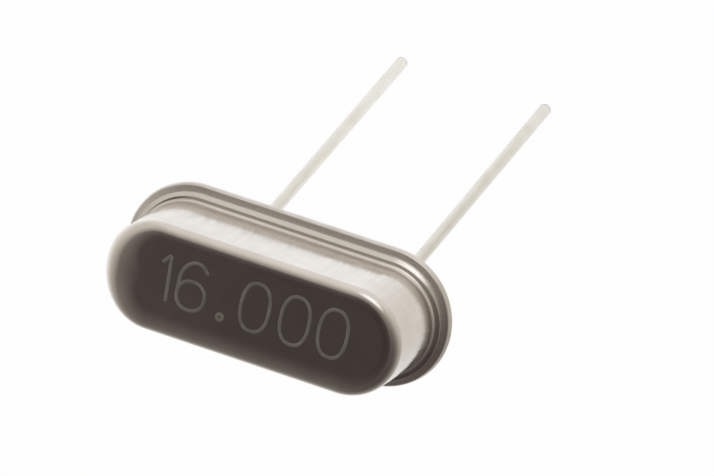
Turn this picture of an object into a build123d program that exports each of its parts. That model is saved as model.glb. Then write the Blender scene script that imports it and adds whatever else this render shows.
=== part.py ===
"""A two-lead quartz crystal unit in a low, round-ended metal can.

The origin is the middle of the seating plane, the underside of the header. +Z runs up through the can,
+X along its length, and the leads leave downwards. All lengths are in millimetres.
"""

import os
from math import cos, radians, sin

from build123d import *

# Cap: the drawn can, with a narrow flange at its foot that is welded on the header's rim
cap_length = 9.70
cap_width = 3.40
cap_top = 3.42
cap_sheet = 0.20
cap_top_radius = 0.40
cap_foot_radius = 0.10
cap_mouth_radius = 0.14
cap_flange_reach = 0.25
cap_flange_edge_radius = 0.10

# Header: the base plate, with a rim past the can's flange and a thicker platform that stands inside the can
weld_ledge = 0.23
rim_thickness = 0.30
rim_edge_radius = 0.10
platform_height = 0.50
platform_edge_chamfer = 0.10
platform_clearance = 0.10

# Leads: two round wires that leave the header straight and then lean to the same side
lead_pitch = 4.88
lead_diameter = 0.38
lead_stub = 2.8
lead_run = 11.5
lead_lean_degrees = 16.0
lead_bend_radius = 12.0
lead_tip_chamfer = 0.07
lead_post_height = 0.30

# Glass seals: beads fused between the eyelet holes and the leads, hollowed by surface tension
seal_diameter = 1.30
seal_edge_recess = 0.02
seal_meniscus_depth = 0.07

# Quartz blank: a strip standing on edge along the can
blank_length = 7.3
blank_height = 1.55
blank_thickness = 0.104
blank_lift = 0.15
blank_bevel = 0.02

# Electrodes: metal film on both faces of the blank, each with a tab to one end
film_thickness = 0.012
electrode_length = 3.8
electrode_height = 1.10
electrode_corner_radius = 0.25
tab_width = 0.45

# Clips: thin strips on the inner ends of the leads, bent up into slotted tongues
clip_sheet = 0.10
clip_width = 0.90
clip_toe = 0.35
clip_bend_radius = 0.12
clip_corner_radius = 0.20
clip_tongue_height = 1.45
blank_grip = 0.28
slot_clearance = 0.03

# Bonds: dots of conductive adhesive in the corner of tongue and tab
bond_radius = 0.26

# One overrun for all cuts
overrun = 1.0

# Sizes, levels and places that several pieces share
flange_length = cap_length + 2 * cap_flange_reach
flange_width = cap_width + 2 * cap_flange_reach
header_length = flange_length + 2 * weld_ledge
header_width = flange_width + 2 * weld_ledge
lead_x = lead_pitch / 2
lead_radius = lead_diameter / 2
seal_radius = seal_diameter / 2
platform_top = rim_thickness + platform_height
post_top = platform_top + lead_post_height
blank_bottom = post_top + clip_sheet + blank_lift
blank_middle = blank_bottom + blank_height / 2
blank_face = blank_thickness / 2
film_face = blank_face + film_thickness
tongue_x = blank_length / 2 - blank_grip
sides = {"left": -1, "right": 1}

os.makedirs("parts", exist_ok=True)


# Header: rim, platform and the two eyelet holes

with BuildPart() as header:
    with BuildSketch():
        SlotOverall(header_length, header_width)
    extrude(amount=rim_thickness)
    fillet(header.edges().filter_by(Plane.XY), radius=rim_edge_radius)
    platform_margin = 2 * (cap_sheet + platform_clearance)
    with BuildSketch(Plane.XY.offset(rim_thickness)):
        SlotOverall(cap_length - platform_margin, cap_width - platform_margin)
    extrude(amount=platform_height)
    chamfer(header.faces().sort_by(Axis.Z)[-1].edges(), length=platform_edge_chamfer)
    with Locations(Plane.XY.offset(platform_top)):
        with GridLocations(lead_pitch, 0, 2, 1):
            Hole(radius=seal_radius)
header.part.label = "header"
export_step(header.part, "parts/header.step")


# Cap: flange and can are drawn as one, then hollowed by the sheet's thickness

with BuildPart() as cap:
    with BuildSketch(Plane.XY.offset(rim_thickness)):
        SlotOverall(flange_length, flange_width)
    extrude(amount=cap_sheet)
    fillet(cap.faces().sort_by(Axis.Z)[-1].edges(), radius=cap_flange_edge_radius)
    with BuildSketch(Plane.XY.offset(rim_thickness)):
        SlotOverall(cap_length, cap_width)
    extrude(amount=cap_top - rim_thickness)
    fillet(cap.faces().sort_by(Axis.Z)[-1].edges(), radius=cap_top_radius)
    land = cap.faces().filter_by(Plane.XY).sort_by(Axis.Z)[1]
    fillet(land.inner_wires().edges(), radius=cap_foot_radius)
    with BuildSketch(Plane.XY.offset(rim_thickness)):
        SlotOverall(cap_length - 2 * cap_sheet, cap_width - 2 * cap_sheet)
    extrude(amount=cap_top - cap_sheet - rim_thickness, mode=Mode.SUBTRACT)
    ceiling = cap.faces().filter_by(Plane.XY).sort_by(Axis.Z)[-2]
    fillet(ceiling.edges(), radius=cap_top_radius - cap_sheet)
    seat = cap.faces().filter_by(Plane.XY).sort_by(Axis.Z)[0]
    fillet(seat.inner_wires().edges(), radius=cap_mouth_radius)
cap.part.label = "cap"
export_step(cap.part, "parts/cap.step")


# Quartz blank with bevelled ends

with BuildPart() as quartz_blank:
    with BuildSketch(Plane.XZ):
        with Locations((0, blank_middle)):
            Rectangle(blank_length, blank_height)
    extrude(amount=blank_face, both=True)
    end_faces = quartz_blank.faces().filter_by(Axis.X)
    chamfer(end_faces.edges().filter_by(Axis.Z), length=blank_bevel)
quartz_blank.part.label = "quartz_blank"
export_step(quartz_blank.part, "parts/quartz_blank.step")


# Electrodes: the front one runs its tab to the left end, the back one to the right end

for face, tab_side, outward in (("front", "left", -1), ("back", "right", 1)):
    tab_reach = blank_length / 2 - blank_bevel
    with BuildPart() as electrode:
        with BuildSketch(Plane.XZ.offset(-outward * blank_face)):
            with Locations((0, blank_middle)):
                RectangleRounded(electrode_length, electrode_height, electrode_corner_radius)
            with Locations((sides[tab_side] * tab_reach / 2, blank_middle)):
                Rectangle(tab_reach, tab_width)
        extrude(amount=-outward * film_thickness)
    electrode.part.label = f"electrode_{face}"
    export_step(electrode.part, f"parts/electrode_{face}.step")


# Pieces that stand once on each lead

for side, way in sides.items():
    axis_x = way * lead_x
    upright = Plane(origin=(axis_x, 0, 0), x_dir=(1, 0, 0), z_dir=(0, -1, 0))

    # Glass bead, a turned ring with a hollow above and below
    with BuildPart() as glass_seal:
        with BuildSketch(upright):
            seal_low = seal_edge_recess
            seal_high = platform_top - seal_edge_recess
            ring_middle = (lead_radius + seal_radius) / 2
            with BuildLine():
                Line((lead_radius, seal_low), (lead_radius, seal_high))
                ThreePointArc(
                    (lead_radius, seal_high),
                    (ring_middle, platform_top - seal_meniscus_depth),
                    (seal_radius, seal_high),
                )
                Line((seal_radius, seal_high), (seal_radius, seal_low))
                ThreePointArc(
                    (seal_radius, seal_low),
                    (ring_middle, seal_meniscus_depth),
                    (lead_radius, seal_low),
                )
            make_face()
        revolve(axis=Axis((axis_x, 0, 0), (0, 0, 1)))
    glass_seal.part.label = f"glass_seal_{side}"
    export_step(glass_seal.part, f"parts/glass_seal_{side}.step")

    # Lead, a round wire carried down through the bead and along the lean
    lean = radians(lead_lean_degrees)
    tip = (lead_run * sin(lean), -lead_stub - lead_run * cos(lean))
    with BuildPart() as lead:
        with BuildLine(Plane.YZ.offset(axis_x)) as wire_path:
            FilletPolyline((0, post_top), (0, -lead_stub), tip, radius=lead_bend_radius)
        with BuildSketch(Plane(origin=wire_path.line @ 0, z_dir=wire_path.line % 0)):
            Circle(lead_radius)
        sweep()
        tip_face = lead.faces().filter_by(GeomType.PLANE).sort_by(Axis.Z)[0]
        chamfer(tip_face.edges(), length=lead_tip_chamfer)
    lead.part.label = f"lead_{side}"
    export_step(lead.part, f"parts/lead_{side}.step")

    # Clip, a strip that lies on the lead's inner end and turns up into a slotted tongue
    foot_level = post_top + clip_sheet / 2
    tongue_top = foot_level + clip_tongue_height
    with BuildPart() as clip:
        with BuildSketch(Plane.XZ):
            with BuildLine():
                FilletPolyline(
                    (way * (lead_x - clip_toe), foot_level),
                    (way * tongue_x, foot_level),
                    (way * tongue_x, tongue_top),
                    radius=clip_bend_radius,
                )
            trace(line_width=clip_sheet)
        extrude(amount=clip_width / 2, both=True)
        tongue_end = clip.faces().sort_by(Axis.Z)[-1]
        fillet(tongue_end.edges().filter_by(Axis.X), radius=clip_corner_radius)
        slot_height = tongue_top - blank_bottom + overrun
        with BuildSketch(Plane.YZ.offset(way * tongue_x)):
            with Locations((0, blank_bottom + slot_height / 2)):
                Rectangle(blank_thickness + 2 * slot_clearance, slot_height)
        extrude(amount=clip_sheet, both=True, mode=Mode.SUBTRACT)
    clip.part.label = f"clip_{side}"
    export_step(clip.part, f"parts/clip_{side}.step")

    # Bond, a quarter ball of adhesive in the inner corner of tongue and tab
    bond_corner = (way * (tongue_x - clip_sheet / 2), way * film_face, blank_middle)
    with BuildPart(Plane(origin=bond_corner, x_dir=(0, way, 0))) as bond:
        Sphere(bond_radius, arc_size3=90, align=(Align.MIN, Align.MIN, Align.CENTER))
    bond.part.label = f"bond_{side}"
    export_step(bond.part, f"parts/bond_{side}.step")
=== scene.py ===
"""Dresses a two-lead quartz crystal unit: drawn can, weld flange, header, glass seals and wire leads.

Lengths are in metres, written as millimetres times MM. The frame is the part's own: the origin is the middle
of the header's underside, +Z runs up through the can and +X along its length.
"""

import logging
import math
from dataclasses import dataclass, field
from enum import Enum

import bmesh
import bpy
import numpy as np
from mathutils import Matrix, Vector


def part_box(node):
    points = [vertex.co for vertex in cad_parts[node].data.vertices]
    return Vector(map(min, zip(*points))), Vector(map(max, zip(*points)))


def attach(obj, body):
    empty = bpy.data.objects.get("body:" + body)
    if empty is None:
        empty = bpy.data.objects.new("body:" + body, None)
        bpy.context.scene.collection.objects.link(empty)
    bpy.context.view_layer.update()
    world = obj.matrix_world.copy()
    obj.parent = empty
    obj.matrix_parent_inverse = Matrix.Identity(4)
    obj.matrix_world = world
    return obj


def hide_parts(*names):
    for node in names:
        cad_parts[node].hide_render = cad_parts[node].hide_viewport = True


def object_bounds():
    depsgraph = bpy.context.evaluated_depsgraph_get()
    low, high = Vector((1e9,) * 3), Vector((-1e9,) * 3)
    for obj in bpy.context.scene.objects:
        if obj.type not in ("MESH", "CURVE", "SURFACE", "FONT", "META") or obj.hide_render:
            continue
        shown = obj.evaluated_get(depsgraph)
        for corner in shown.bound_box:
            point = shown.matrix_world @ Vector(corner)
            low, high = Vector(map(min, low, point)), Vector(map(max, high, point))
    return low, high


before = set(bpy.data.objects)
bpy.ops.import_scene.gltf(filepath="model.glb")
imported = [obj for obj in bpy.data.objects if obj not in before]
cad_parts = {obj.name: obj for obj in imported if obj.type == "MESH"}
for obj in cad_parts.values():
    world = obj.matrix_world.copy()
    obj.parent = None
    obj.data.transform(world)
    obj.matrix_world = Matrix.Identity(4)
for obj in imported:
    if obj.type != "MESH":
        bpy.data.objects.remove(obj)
cad_low, cad_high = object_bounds()

MM = 0.001
BODY = "root"
MERGE_DISTANCE = 1e-5 * MM
PLACE_LAYER = "surface"
WEAR_LAYER = "wear"
BRUSH_LAYER = "brush"
NOISE_MIDDLE = 0.5
FULL_TURN = 2 * np.pi

# Sizes that the header, the leads and the glass seals share
LEAD_PITCH = 4.88 * MM
WIRE_RADIUS = 0.19 * MM
HOLE_RADIUS = 0.65 * MM

log = logging.getLogger("crystal_unit")

Socket = bpy.types.NodeSocket
Colour = tuple[float, float, float]
Direction = tuple[float, float, float]
Source = Socket | float | Colour
Values = float | np.ndarray


class Slot(Enum):
    """The record's material slots."""

    CAN = "can_metal"
    HEADER = "header_metal"
    GLASS = "seal_glass"
    LEAD = "lead_wire"


class Side(Enum):
    """The two leads, each with its sign along X."""

    LEFT = -1
    RIGHT = 1

    @property
    def word(self) -> str:
        """The side's word in piece and node names."""
        return self.name.lower()

    @property
    def x(self) -> float:
        """X of the lead's axis in the header."""
        return self.value * LEAD_PITCH / 2


class Toward(Enum):
    """The four sides of a round-ended outline, each with its outward direction."""

    RIGHT = (1, 0)
    BACK = (0, 1)
    LEFT = (-1, 0)
    FRONT = (0, -1)


# Geometry


@dataclass
class Grid:
    """A sheet of points in rows and columns.

    Attributes:
        points: places, shaped rows by columns by 3
        place: distances along the surface in millimetres, shaped rows by columns by 2, or else X and Y
        wear: share of polish from handling, shaped rows by columns, or else none
        brush: share of drawing lines, shaped rows by columns, or else none
    """

    points: np.ndarray
    place: np.ndarray | None = None
    wear: np.ndarray | None = None
    brush: np.ndarray | None = None

    def __post_init__(self) -> None:
        """Fills in what isn't given."""
        none = np.zeros(self.points.shape[:2])
        self.place = self.points[..., :2] / MM if self.place is None else self.place
        self.wear = none if self.wear is None else self.wear
        self.brush = none if self.brush is None else self.brush


def add_object(name: str, data: bpy.types.ID) -> bpy.types.Object:
    """Puts a new object into the scene.

    Args:
        name: its name
        data: its mesh, camera or light
    Returns:
        the object
    """
    made = bpy.data.objects.new(name, data)
    bpy.context.scene.collection.objects.link(made)
    return made


def closed_mesh(name: str, grids: list[Grid]) -> bpy.types.Object:
    """Joins grids into one closed mesh: neighbours in a grid form quads, and equal points are merged.

    Args:
        name: the piece's name
        grids: sheets whose borders meet point for point
    Returns:
        the new object, smooth and with its faces outwards
    """
    quads, start = [], 0
    for grid in grids:
        index = start + np.arange(grid.wear.size).reshape(grid.wear.shape)
        corners = (index[:-1, :-1], index[1:, :-1], index[1:, 1:], index[:-1, 1:])
        quads.append(np.stack(corners, axis=-1).reshape(-1, 4))
        start += grid.wear.size
    faces = np.concatenate(quads)
    points = np.concatenate([grid.points.reshape(-1, 3) for grid in grids])
    places = np.concatenate([grid.place.reshape(-1, 2) for grid in grids])
    mesh = bpy.data.meshes.new(name)
    mesh.from_pydata(points.tolist(), [], faces.tolist())
    surface = mesh.uv_layers.new(name=PLACE_LAYER)
    surface.data.foreach_set("uv", places[faces.ravel()].astype(np.float32).ravel())
    layers = {WEAR_LAYER: [grid.wear for grid in grids], BRUSH_LAYER: [grid.brush for grid in grids]}
    for label, shares in layers.items():
        attribute = mesh.attributes.new(label, "FLOAT", "POINT")
        values = np.concatenate([share.ravel() for share in shares])
        attribute.data.foreach_set("value", values.astype(np.float32))
    work = bmesh.new()
    work.from_mesh(mesh)
    bmesh.ops.remove_doubles(work, verts=work.verts, dist=MERGE_DISTANCE)
    bmesh.ops.recalc_face_normals(work, faces=work.faces)
    work.to_mesh(mesh)
    work.free()
    mesh.polygons.foreach_set("use_smooth", np.ones(len(mesh.polygons), dtype=bool))
    return add_object(name, mesh)


def distances(points: np.ndarray) -> np.ndarray:
    """The running distance from the first of some points to each of them."""
    steps = np.linalg.norm(np.diff(points, axis=0), axis=1)
    return np.concatenate([[0], np.cumsum(steps)])


def settle(piece: bpy.types.Object, slot: Slot, material: bpy.types.Material, *nodes: str) -> None:
    """Gives a piece its body and finish, and lets it stand for its CAD nodes.

    Args:
        piece: a finished piece
        slot: the record's slot of its finish; not used
        material: the finish
        nodes: CAD nodes that the piece stands for
    """
    piece.data.materials.append(material)
    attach(piece, BODY)
    if nodes:
        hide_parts(*nodes)
    log.info("%s: %d faces, stands for %s", piece.name, len(piece.data.polygons), nodes or "nothing")


@dataclass
class Meridian:
    """A section line through a round-ended piece, drawn point by point from its start.

    Each point has the half-length of the core segment along X, the reach out from that segment, the height,
    and the shares of wear and brush.

    Attributes:
        core: half-length of the core for the points to come
        reach: reach of the start
        height: height of the start
        rows: the points so far, shaped points by 5 for each run
        brush_power: the lower it is, the nearer to a line's ends its drawing lines begin
    """

    core: float
    reach: float
    height: float
    rows: list[np.ndarray] = field(default_factory=list)
    brush_power: float = 0.3

    def __post_init__(self) -> None:
        """Puts the start on the line."""
        self.run(np.array([self.core]), self.reach, self.height)

    def run(self, core: Values, reach: Values, height: Values, wear: Values = 0.0,
            brush: Values = 0.0) -> None:
        """Adds points with their shares of wear and brush; a single number goes for all of them."""
        self.rows.append(np.stack(np.broadcast_arrays(core, reach, height, wear, brush), axis=-1))

    def line(self, reach: float, height: float, steps: int, brush: float = 0.0) -> None:
        """Runs straight to a point, in steps finer near both ends: the share is (1 - cos(pi t)) / 2.

        Args:
            reach: reach at the end
            height: height at the end
            steps: number of steps
            brush: share of drawing lines in the middle of the run
        """
        share = (0.5 - 0.5 * np.cos(np.pi * np.linspace(0, 1, steps + 1)))[1:]
        first, last = self.rows[-1][-1, :3], np.array([self.core, reach, height])
        places = first + share[:, None] * (last - first)
        self.run(*places.T, brush=brush * np.sin(np.pi * share) ** self.brush_power)

    def arc(self, reach: float, height: float, radius: float, turn: tuple[float, float], steps: int,
            wear: float = 0.0) -> None:
        """Runs along an arc: reach plus radius times cosine, and height plus radius times sine.

        Args:
            reach: reach of the centre
            height: height of the centre
            radius: the arc's radius
            turn: first and last angle in degrees, from the outward direction
            steps: number of steps
            wear: share of polish in the middle of the arc
        """
        angle = np.radians(np.linspace(*turn, steps + 1))[1:]
        polish = wear * np.sin(np.pi * np.linspace(0, 1, steps + 1))[1:]
        self.run(self.core, reach + radius * np.cos(angle), height + radius * np.sin(angle), polish)

    def table(self) -> np.ndarray:
        """All points so far, shaped points by 5."""
        return np.concatenate(self.rows)


@dataclass(frozen=True)
class SlotOutline:
    """The columns round a slot-shaped outline: half a turn at each end and a straight run along each side.

    Attributes:
        side_steps: steps along a side, an even number, so that one column stands at the middle
        end_steps: steps round an end
    """

    side_steps: int = 64
    end_steps: int = 72

    def columns(self) -> tuple[np.ndarray, np.ndarray]:
        """The columns in order, round from the right end's start to itself.

        Returns:
            places along the core from 1 to -1, and outward angles
        """
        ahead = np.linspace(1, -1, self.side_steps + 1)
        turn = np.linspace(-np.pi / 2, np.pi / 2, self.end_steps + 1)[:-1]
        end, side = np.ones(self.end_steps), np.ones(self.side_steps)
        along = np.concatenate([end, ahead[:-1], -end, -ahead])
        angle = np.concatenate([turn, side * np.pi / 2, turn + np.pi, np.full(len(ahead), 1.5 * np.pi)])
        return along, angle

    def carry(self, sections: dict[Toward, np.ndarray], base: tuple[float, float]) -> Grid:
        """Carries a section round the outline: core place plus reach times the outward normal.

        Each column mixes the sections of its two nearest sides by the squared cosines of their angles to its
        outward normal, which add up to 1, so that one section runs smoothly into the next.

        Args:
            sections: points of a Meridian for each of the four sides, alike in number
            base: core and reach of the outline on which distances round the piece are measured
        Returns:
            one row for each section point, closed at its seam
        """
        along, angle = self.columns()
        outward = np.stack([np.cos(angle), np.sin(angle)], axis=-1)
        shares = {side: np.clip(outward @ np.array(side.value), 0, 1) ** 2 for side in sections}
        columns = sum(section[:, :, None] * shares[side] for side, section in sections.items())
        core, reach, height, wear, brush = np.moveaxis(columns, 1, 0)
        x = core * along + reach * np.cos(angle)
        y = reach * np.sin(angle)
        ring = np.stack([base[0] * along, np.zeros_like(along)], axis=-1) + base[1] * outward
        down = distances(sections[Toward.FRONT][:, :3])[:, None]
        place = np.stack(np.broadcast_arrays(distances(ring), down), axis=-1) / MM
        return Grid(np.stack([x, y, height], axis=-1), place, wear, brush)

    def halves(self, core: float, reach: float, cut_steps: int) -> dict[Side, np.ndarray]:
        """The outline's two halves as closed loops, cut along the plane x = 0.

        Args:
            core: half-length of the core
            reach: reach from it
            cut_steps: steps along the cut
        Returns:
            for each side, the loop's X and Y, with its first point again at its end
        """
        along, angle = self.columns()
        ring = np.stack([core * along + reach * np.cos(angle), reach * np.sin(angle)], axis=-1)
        upper = self.end_steps + self.side_steps // 2
        lower = upper + self.end_steps + self.side_steps
        cut = np.stack([np.zeros(cut_steps + 1), np.linspace(reach, -reach, cut_steps + 1)], axis=-1)
        right = np.concatenate([ring[lower:-1], ring[:upper], cut])
        left = np.concatenate([ring[upper:lower], cut[::-1]])
        return {Side.RIGHT: right, Side.LEFT: left}


# Shader wiring


class Wiring:
    """Adds nodes to one shader tree and joins their sockets."""

    # Places of the two colours among a mix node's inputs, and of the mixed one among its outputs
    MIX_COLOURS = (6, 7)
    MIX_RESULT = 2

    def __init__(self, tree: bpy.types.NodeTree) -> None:
        """Keeps the tree that the nodes go into."""
        self.tree = tree

    def join(self, socket: Socket, source: Source) -> None:
        """Joins an input to a source socket, or sets its own value.

        Args:
            socket: the input
            source: a socket or a value
        """
        if isinstance(source, Socket):
            self.tree.links.new(source, socket)
        else:
            socket.default_value = source

    def feed(self, node: bpy.types.Node, **sources: Source) -> None:
        """Joins a node's inputs to sources, each by the input's name with _ for a space."""
        for name, source in sources.items():
            self.join(node.inputs[name.replace("_", " ")], source)

    def node(self, kind: str, *sources: Source, **settings: object) -> bpy.types.Node:
        """Adds a node.

        Args:
            kind: the node's type
            sources: sources of its first inputs, in order
            settings: values of the node's own properties
        Returns:
            the new node
        """
        made = self.tree.nodes.new(kind)
        for name, value in settings.items():
            setattr(made, name, value)
        for socket, source in zip(made.inputs, sources):
            self.join(socket, source)
        return made

    def math(self, operation: str, *sources: Source) -> Socket:
        """Puts numbers through a math node, with its inputs in order."""
        return self.node("ShaderNodeMath", *sources, operation=operation).outputs[0]

    def vector(self, operation: str, *sources: Source) -> Socket:
        """Puts vectors through a vector math node, to a vector or, for a dot product, a number."""
        made = self.node("ShaderNodeVectorMath", *sources, operation=operation)
        return made.outputs["Value" if operation == "DOT_PRODUCT" else "Vector"]

    def total(self, start: Source, *parts: tuple[Socket, float]) -> Socket:
        """A start value plus values times their weights.

        Args:
            start: the start value
            parts: each value with its weight
        Returns:
            the sum
        """
        for value, weight in parts:
            start = self.math("MULTIPLY_ADD", value, weight, start)
        return start

    def span(self, value: Source, low: Source, high: Source, start: float = 0.0, end: float = 1.0) -> Socket:
        """Maps a value smoothly from low..high to start..end."""
        made = self.node("ShaderNodeMapRange", value, low, high, start, end, interpolation_type="SMOOTHSTEP")
        return made.outputs["Result"]

    def noise(self, place: Socket, scale: Source = 1.0, detail: float = 2.0,
              roughness: float = 0.5) -> Socket:
        """A noise value about its middle.

        Args:
            place: where it is read
            scale: features per unit
            detail: octaves
            roughness: share kept by each finer octave
        Returns:
            the noise
        """
        made = self.node("ShaderNodeTexNoise", place)
        self.feed(made, Scale=scale, Detail=detail, Roughness=roughness)
        return made.outputs[0]

    def turned(self, place: Socket, angle: float) -> Socket:
        """Turns a place about the third axis.

        Args:
            place: the place
            angle: the angle in radians
        Returns:
            the turned place
        """
        made = self.node("ShaderNodeVectorRotate", place, rotation_type="Z_AXIS")
        self.feed(made, Angle=angle)
        return made.outputs[0]

    def blend(self, factor: Source, first: Source, second: Source) -> Socket:
        """Mixes two colours.

        Args:
            factor: share of the second
            first: a colour or its source
            second: a colour or its source
        Returns:
            the mixed colour
        """
        made = self.node("ShaderNodeMix", factor, data_type="RGBA")
        for place, colour in zip(self.MIX_COLOURS, (first, second)):
            self.join(made.inputs[place], colour if isinstance(colour, Socket) else (*colour, 1.0))
        return made.outputs[self.MIX_RESULT]

    def group(self, tree: bpy.types.NodeTree, **sources: Source) -> bpy.types.NodeOutputs:
        """Places a shader group.

        Args:
            tree: the group
            sources: a source for each of its inputs, by name
        Returns:
            the group's outputs
        """
        made = self.node("ShaderNodeGroup", node_tree=tree)
        self.feed(made, **sources)
        return made.outputs


class GroupMaker(Wiring):
    """A new shader group that reads a place in millimetres and some values, and puts out values."""

    def __init__(self, name: str, *values: str) -> None:
        """Makes the group with its inputs.

        Args:
            name: the group's name
            values: names of its values
        """
        super().__init__(bpy.data.node_groups.new(name, "ShaderNodeTree"))
        self.tree.interface.new_socket(name="Place", in_out="INPUT", socket_type="NodeSocketVector")
        for value in values:
            self.tree.interface.new_socket(name=value, in_out="INPUT", socket_type="NodeSocketFloat")
        self.given = self.node("NodeGroupInput").outputs
        self.place = self.given["Place"]

    def close(self, **results: Socket) -> bpy.types.NodeTree:
        """Gives the group its outputs.

        Args:
            results: a source for each output, by name
        Returns:
            the group
        """
        for result in results:
            self.tree.interface.new_socket(name=result, in_out="OUTPUT", socket_type="NodeSocketFloat")
        self.feed(self.node("NodeGroupOutput"), **results)
        return self.tree


class Effects:
    """Shader groups that several finishes share."""

    # Clouds for each grain along a line
    CLOUD_SCALE = 0.045

    def __init__(self) -> None:
        """Builds each group once."""
        self.drawing_lines = self.make_drawing_lines()
        self.grain = self.make_grain()
        self.edge_polish = self.make_edge_polish()
        self.scratches = self.make_scratches()

    def make_drawing_lines(self) -> bpy.types.NodeTree:
        """Lines left by a die: two noises that are fine across the first axis and long along the second.

        Returns:
            a group from Density in lines per millimetre and Length in millimetres to Lines
        """
        group = GroupMaker("drawing_lines", "Density", "Length")
        axes = group.node("ShaderNodeSeparateXYZ", group.place).outputs
        across = group.math("MULTIPLY", axes["X"], group.given["Density"])
        along = group.math("DIVIDE", axes["Y"], group.given["Length"])
        lines = 0.0
        for fineness, weight in ((1.0, 0.6), (0.31, 0.4)):
            stretched = [group.math("MULTIPLY", axis, fineness) for axis in (across, along)]
            place = group.node("ShaderNodeCombineXYZ", *stretched).outputs[0]
            lines = group.total(lines, (group.noise(place, detail=3.0, roughness=0.6), weight))
        return group.close(Lines=group.span(lines, low=0.36, high=0.64))

    def make_grain(self) -> bpy.types.NodeTree:
        """The fine grain and the broad clouds of a rolled and handled surface, as two scales of noise.

        Returns:
            a group from Size in millimetres to Grain and Clouds
        """
        group = GroupMaker("surface_grain", "Size")
        fine = group.math("DIVIDE", 1.0, group.given["Size"])
        broad = group.math("MULTIPLY", fine, self.CLOUD_SCALE)
        grain = group.span(group.noise(group.place, fine, detail=2.0, roughness=0.6), low=0.3, high=0.7)
        clouds = group.span(group.noise(group.place, broad, detail=4.0, roughness=0.55), low=0.34, high=0.68)
        return group.close(Grain=grain, Clouds=clouds)

    def make_edge_polish(self) -> bpy.types.NodeTree:
        """Edges rubbed bright: the wear share, broken up by noise.

        Returns:
            a group from Wear to Mask
        """
        group = GroupMaker("edge_polish", "Wear")
        broken = group.noise(group.place, scale=3.2, detail=4.0, roughness=0.65)
        shifted = group.math("ADD", group.given["Wear"], group.math("SUBTRACT", broken, NOISE_MIDDLE))
        return group.close(Mask=group.span(shifted, low=0.25, high=0.95))

    def make_scratches(self) -> bpy.types.NodeTree:
        """Sparse hairlines in two directions: level lines of stretched noise, where a slow noise is high.

        Returns:
            a group from Width, a share of the spacing, to Mask
        """
        group = GroupMaker("hairlines", "Width")
        masks = []
        for angle, stretch in ((0.5, (1.9, 0.16, 1.0)), (-0.9, (0.13, 1.5, 1.0))):
            place = group.turned(group.place, angle)
            pattern = group.noise(group.vector("MULTIPLY", place, stretch), detail=1.0)
            level = group.math("ABSOLUTE", group.math("SUBTRACT", pattern, NOISE_MIDDLE))
            line = group.span(level, 0.0, group.given["Width"], start=1.0, end=0.0)
            patch = group.span(group.noise(place, scale=1.3, detail=2.0), low=0.52, high=0.66)
            masks.append(group.math("MULTIPLY", line, patch))
        return group.close(Mask=group.math("MAXIMUM", *masks))


class MaterialMaker(Wiring):
    """A new material with its Principled shader, and the object's coordinates in millimetres."""

    def __init__(self, name: str, **constants: float) -> None:
        """Makes the material.

        Args:
            name: the material's name
            constants: values of the shader's own sockets, by name with _ for a space
        """
        self.material = bpy.data.materials.new(name)
        self.material.use_nodes = True
        super().__init__(self.material.node_tree)
        self.shader = self.tree.nodes["Principled BSDF"]
        self.feed(self.shader, **constants)
        place = self.node("ShaderNodeTexCoord").outputs["Object"]
        self.solid = self.vector("MULTIPLY", place, (1 / MM, 1 / MM, 1 / MM))


class FinishMaker(MaterialMaker):
    """A material with the patterns that the part's finishes share."""

    def __init__(self, name: str, effects: Effects, grain_size: float, **constants: float) -> None:
        """Makes the material with its grain and clouds.

        Args:
            name: the material's name
            effects: the shared groups
            grain_size: size of the grain in millimetres
            constants: values of the shader's own sockets, by name with _ for a space
        """
        super().__init__(name, **constants)
        self.effects = effects
        patterns = self.group(effects.grain, Place=self.solid, Size=grain_size)
        self.grain, self.clouds = patterns["Grain"], patterns["Clouds"]

    def layer(self, name: str) -> Socket:
        """A value that the piece's points carry."""
        return self.node("ShaderNodeAttribute", attribute_name=name).outputs["Fac"]

    def lines(self, density: float, length: float, angle: float = 0.0) -> Socket:
        """Drawing lines on the piece's own map.

        Args:
            density: lines per millimetre
            length: their length in millimetres
            angle: the angle in radians by which they are turned
        Returns:
            the lines
        """
        surface = self.node("ShaderNodeUVMap", uv_map=PLACE_LAYER).outputs["UV"]
        place = self.turned(surface, angle) if angle else surface
        return self.group(self.effects.drawing_lines, Place=place, Density=density, Length=length)["Lines"]

    def polish(self) -> Socket:
        """Where edges are rubbed bright."""
        return self.group(self.effects.edge_polish, Place=self.solid, Wear=self.layer(WEAR_LAYER))["Mask"]

    def finish(self, colour: Socket, rough: Socket, height: Socket, depth: float) -> None:
        """Feeds the shader's colour and roughness, and its normal with a bump.

        Args:
            colour: the base colour
            rough: the roughness
            height: height of the relief from 0 to 1
            depth: the height of 1, in metres
        """
        bump = self.node("ShaderNodeBump")
        self.feed(bump, Strength=1.0, Distance=depth, Height=height)
        self.feed(self.shader, Base_Color=colour, Roughness=rough, Normal=bump.outputs["Normal"])


# Finishes


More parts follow.
